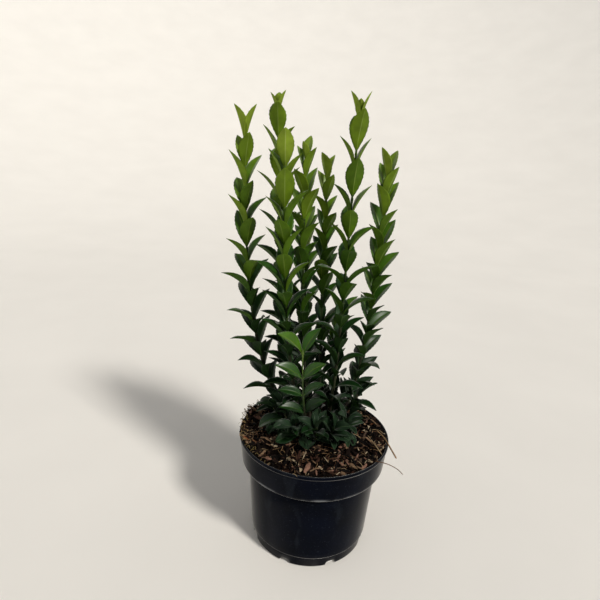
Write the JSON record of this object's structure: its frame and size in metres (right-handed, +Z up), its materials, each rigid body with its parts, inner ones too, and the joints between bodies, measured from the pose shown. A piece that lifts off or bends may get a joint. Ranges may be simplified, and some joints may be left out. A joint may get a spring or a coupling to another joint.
{
  "type": "potted japanese spindle",
  "caption": "Young evergreen japanese spindle shrub with upright leafy shoots and a low skirt of old leaves, in a round nursery pot filled with bark mulch.",
  "frame": {"origin": "centre of the pot's flat underside, on the surface that it stands on", "axes": "+Z up, +X to the right and -Y towards the viewer in the picture"},
  "size_m": [0.1974, 0.17, 0.4971],
  "materials": {
    "pot_plastic": "satin, scuffed",
    "bark_mulch": "matte, rough",
    "stem_skin": "matte",
    "leaves": "waxy, half glossy",
    "old_leaves": "dull, dusty"
  },
  "bodies": {
    "root": {"pot": "pot_plastic", "mulch": "bark_mulch", "stem_left": "stem_skin", "foliage_left": "leaves", "stem_tall_left": "stem_skin", "foliage_tall_left": "leaves", "stem_front_left": "stem_skin", "foliage_front_left": "leaves", "stem_centre": "stem_skin", "foliage_centre": "leaves", "stem_rear_left": "stem_skin", "foliage_rear_left": "leaves", "stem_rear": "stem_skin", "foliage_rear": "leaves", "stem_tall_right": "stem_skin", "foliage_tall_right": "leaves", "stem_right": "stem_skin", "foliage_right": "leaves", "stem_front_short": "stem_skin", "foliage_front_short": "leaves", "stem_rear_short": "stem_skin", "foliage_rear_short": "leaves", "foliage_low_1": "old_leaves", "foliage_low_2": "old_leaves", "foliage_low_3": "old_leaves", "foliage_low_4": "old_leaves", "foliage_low_5": "old_leaves", "foliage_low_6": "old_leaves", "foliage_low_7": "old_leaves", "foliage_low_8": "old_leaves", "foliage_low_9": "old_leaves", "foliage_low_10": "old_leaves"}
  },
  "joints": []
}
